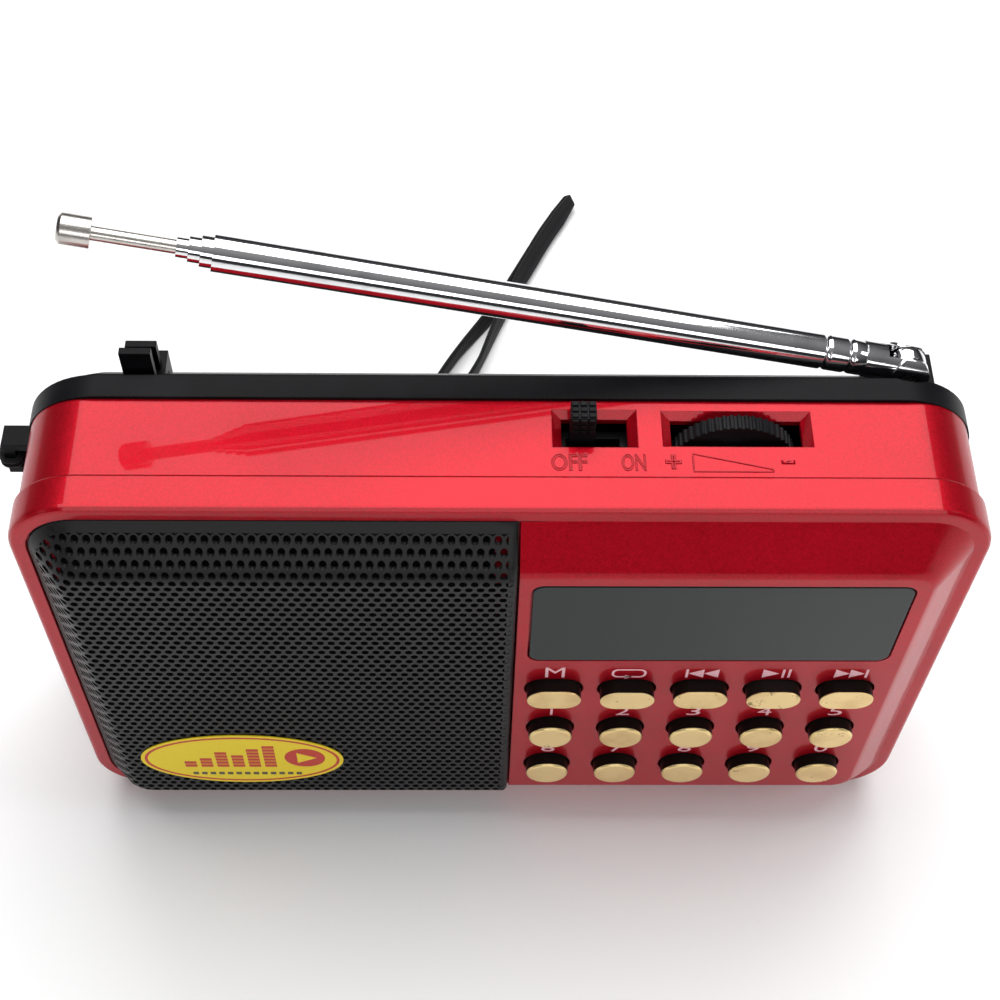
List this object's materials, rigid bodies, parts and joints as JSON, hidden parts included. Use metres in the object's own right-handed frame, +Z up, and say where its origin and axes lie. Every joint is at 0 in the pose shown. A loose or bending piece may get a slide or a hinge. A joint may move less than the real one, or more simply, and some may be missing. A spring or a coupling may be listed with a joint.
{
  "type": "pocket radio player",
  "caption": "Pocket radio and music player with a perforated speaker grille, a keypad, a display, a thumbwheel, a telescopic antenna and a wrist strap.",
  "frame": {"origin": "middle of the flat base, half way through the body's thickness", "axes": "+X to the right seen from the front, +Y towards the back, +Z up"},
  "size_m": [0.1242, 0.1281, 0.1017],
  "materials": {
    "red_shell": "metallic candy red lacquer over moulded plastic",
    "black_cover": "satin black moulded plastic",
    "grille": "black painted perforated steel",
    "felt": "thin black cloth",
    "steel": "plated sheet steel",
    "paper_cone": "black paper cone",
    "magnet": "ferrite with a plated cover",
    "board": "green solder resist",
    "dark_plastic": "black moulded plastic",
    "lens": "smoked clear plastic",
    "key_gold": "worn gold foil on black plastic",
    "chrome": "bright chrome plating",
    "battery_wrap": "printed shrink wrap",
    "brass": "gold plated contacts",
    "sticker": "glossy yellow label",
    "webbing": "black woven nylon"
  },
  "bodies": {
    "housing": {"front_shell": "red_shell", "back_cover": "black_cover", "speaker_grille": "grille", "grille_felt": "felt", "speaker_basket": "steel", "speaker_cone": "paper_cone", "speaker_magnet": "magnet", "main_board": "board", "tact_switches": "dark_plastic", "display_lens": "lens", "display_module": "dark_plastic", "slide_switch_body": "steel", "volume_pot_body": "steel", "battery_pack": "battery_wrap", "battery_contacts": "brass", "usb_socket": "steel", "card_socket": "steel", "headphone_jack": "dark_plastic", "charge_socket": "steel", "case_screws": "steel", "board_screws": "steel", "front_sticker": "sticker", "strap_cord": "webbing", "strap_connector": "dark_plastic", "strap_webbing": "webbing"},
    "battery_door": {"battery_door": "black_cover"},
    "switch_knob": {"slide_switch_knob": "dark_plastic"},
    "volume_wheel": {"volume_pot_shaft": "steel", "volume_wheel": "dark_plastic", "wheel_screw": "steel"},
    "antenna_base": {"antenna_swivel": "chrome", "antenna_screw": "steel"},
    "antenna_arm": {"antenna_clevis": "chrome", "antenna_pin": "chrome", "antenna_tube_1": "chrome"},
    "antenna_section_2": {"antenna_tube_2": "chrome"},
    "antenna_section_3": {"antenna_tube_3": "chrome"},
    "antenna_section_4": {"antenna_tube_4": "chrome"},
    "antenna_tip": {"antenna_rod": "chrome"},
    "key_mode": {"key_mode": "key_gold"},
    "key_repeat": {"key_repeat": "key_gold"},
    "key_previous": {"key_previous": "key_gold"},
    "key_play": {"key_play": "key_gold"},
    "key_next": {"key_next": "key_gold"},
    "key_1": {"key_1": "key_gold"},
    "key_2": {"key_2": "key_gold"},
    "key_3": {"key_3": "key_gold"},
    "key_4": {"key_4": "key_gold"},
    "key_5": {"key_5": "key_gold"},
    "key_6": {"key_6": "key_gold"},
    "key_7": {"key_7": "key_gold"},
    "key_8": {"key_8": "key_gold"},
    "key_9": {"key_9": "key_gold"},
    "key_0": {"key_0": "key_gold"}
  },
  "joints": [
    {"name": "key_mode_press", "type": "slide", "parent": "housing", "child": "key_mode", "axis": [0, 1, 0], "range_m": [0, 0.0006], "stiffness_N_per_m": 300, "springref_m": -0.001},
    {"name": "key_repeat_press", "type": "slide", "parent": "housing", "child": "key_repeat", "axis": [0, 1, 0], "range_m": [0, 0.0006], "stiffness_N_per_m": 300, "springref_m": -0.001},
    {"name": "key_previous_press", "type": "slide", "parent": "housing", "child": "key_previous", "axis": [0, 1, 0], "range_m": [0, 0.0006], "stiffness_N_per_m": 300, "springref_m": -0.001},
    {"name": "key_play_press", "type": "slide", "parent": "housing", "child": "key_play", "axis": [0, 1, 0], "range_m": [0, 0.0006], "stiffness_N_per_m": 300, "springref_m": -0.001},
    {"name": "key_next_press", "type": "slide", "parent": "housing", "child": "key_next", "axis": [0, 1, 0], "range_m": [0, 0.0006], "stiffness_N_per_m": 300, "springref_m": -0.001},
    {"name": "key_1_press", "type": "slide", "parent": "housing", "child": "key_1", "axis": [0, 1, 0], "range_m": [0, 0.0006], "stiffness_N_per_m": 300, "springref_m": -0.001},
    {"name": "key_2_press", "type": "slide", "parent": "housing", "child": "key_2", "axis": [0, 1, 0], "range_m": [0, 0.0006], "stiffness_N_per_m": 300, "springref_m": -0.001},
    {"name": "key_3_press", "type": "slide", "parent": "housing", "child": "key_3", "axis": [0, 1, 0], "range_m": [0, 0.0006], "stiffness_N_per_m": 300, "springref_m": -0.001},
    {"name": "key_4_press", "type": "slide", "parent": "housing", "child": "key_4", "axis": [0, 1, 0], "range_m": [0, 0.0006], "stiffness_N_per_m": 300, "springref_m": -0.001},
    {"name": "key_5_press", "type": "slide", "parent": "housing", "child": "key_5", "axis": [0, 1, 0], "range_m": [0, 0.0006], "stiffness_N_per_m": 300, "springref_m": -0.001},
    {"name": "key_6_press", "type": "slide", "parent": "housing", "child": "key_6", "axis": [0, 1, 0], "range_m": [0, 0.0006], "stiffness_N_per_m": 300, "springref_m": -0.001},
    {"name": "key_7_press", "type": "slide", "parent": "housing", "child": "key_7", "axis": [0, 1, 0], "range_m": [0, 0.0006], "stiffness_N_per_m": 300, "springref_m": -0.001},
    {"name": "key_8_press", "type": "slide", "parent": "housing", "child": "key_8", "axis": [0, 1, 0], "range_m": [0, 0.0006], "stiffness_N_per_m": 300, "springref_m": -0.001},
    {"name": "key_9_press", "type": "slide", "parent": "housing", "child": "key_9", "axis": [0, 1, 0], "range_m": [0, 0.0006], "stiffness_N_per_m": 300, "springref_m": -0.001},
    {"name": "key_0_press", "type": "slide", "parent": "housing", "child": "key_0", "axis": [0, 1, 0], "range_m": [0, 0.0006], "stiffness_N_per_m": 300, "springref_m": -0.001},
    {"name": "switch_slide", "type": "slide", "parent": "housing", "child": "switch_knob", "axis": [1, 0, 0], "range_m": [0, 0.003]},
    {"name": "volume_turn", "type": "hinge", "parent": "housing", "child": "volume_wheel", "pos_m": [0.0287, 0.00045, 0.0707], "axis": [0, 1, 0], "range_deg": [-140, 140]},
    {"name": "antenna_swivel_turn", "type": "hinge", "parent": "housing", "child": "antenna_base", "pos_m": [0.0514, 0.0118, 0.0755], "axis": [0, 0, -1], "range_deg": [0, 180]},
    {"name": "antenna_lift", "type": "hinge", "parent": "antenna_base", "child": "antenna_arm", "pos_m": [0.0514, 0.0118, 0.0755], "axis": [0, 1, 0], "range_deg": [-13.4, 76.6]},
    {"name": "antenna_slide_1", "type": "slide", "parent": "antenna_arm", "child": "antenna_section_2", "axis": [-0.9728, 0, 0.2317], "range_m": [0, 0.06]},
    {"name": "antenna_slide_2", "type": "slide", "parent": "antenna_section_2", "child": "antenna_section_3", "axis": [-0.9728, 0, 0.2317], "range_m": [0, 0.06]},
    {"name": "antenna_slide_3", "type": "slide", "parent": "antenna_section_3", "child": "antenna_section_4", "axis": [-0.9728, 0, 0.2317], "range_m": [0, 0.06]},
    {"name": "antenna_slide_4", "type": "slide", "parent": "antenna_section_4", "child": "antenna_tip", "axis": [-0.9728, 0, 0.2317], "range_m": [0, 0.06]},
    {"name": "battery_door_slide", "type": "slide", "parent": "housing", "child": "battery_door", "axis": [0, 0, -1], "range_m": [0, 0.04]}
  ]
}
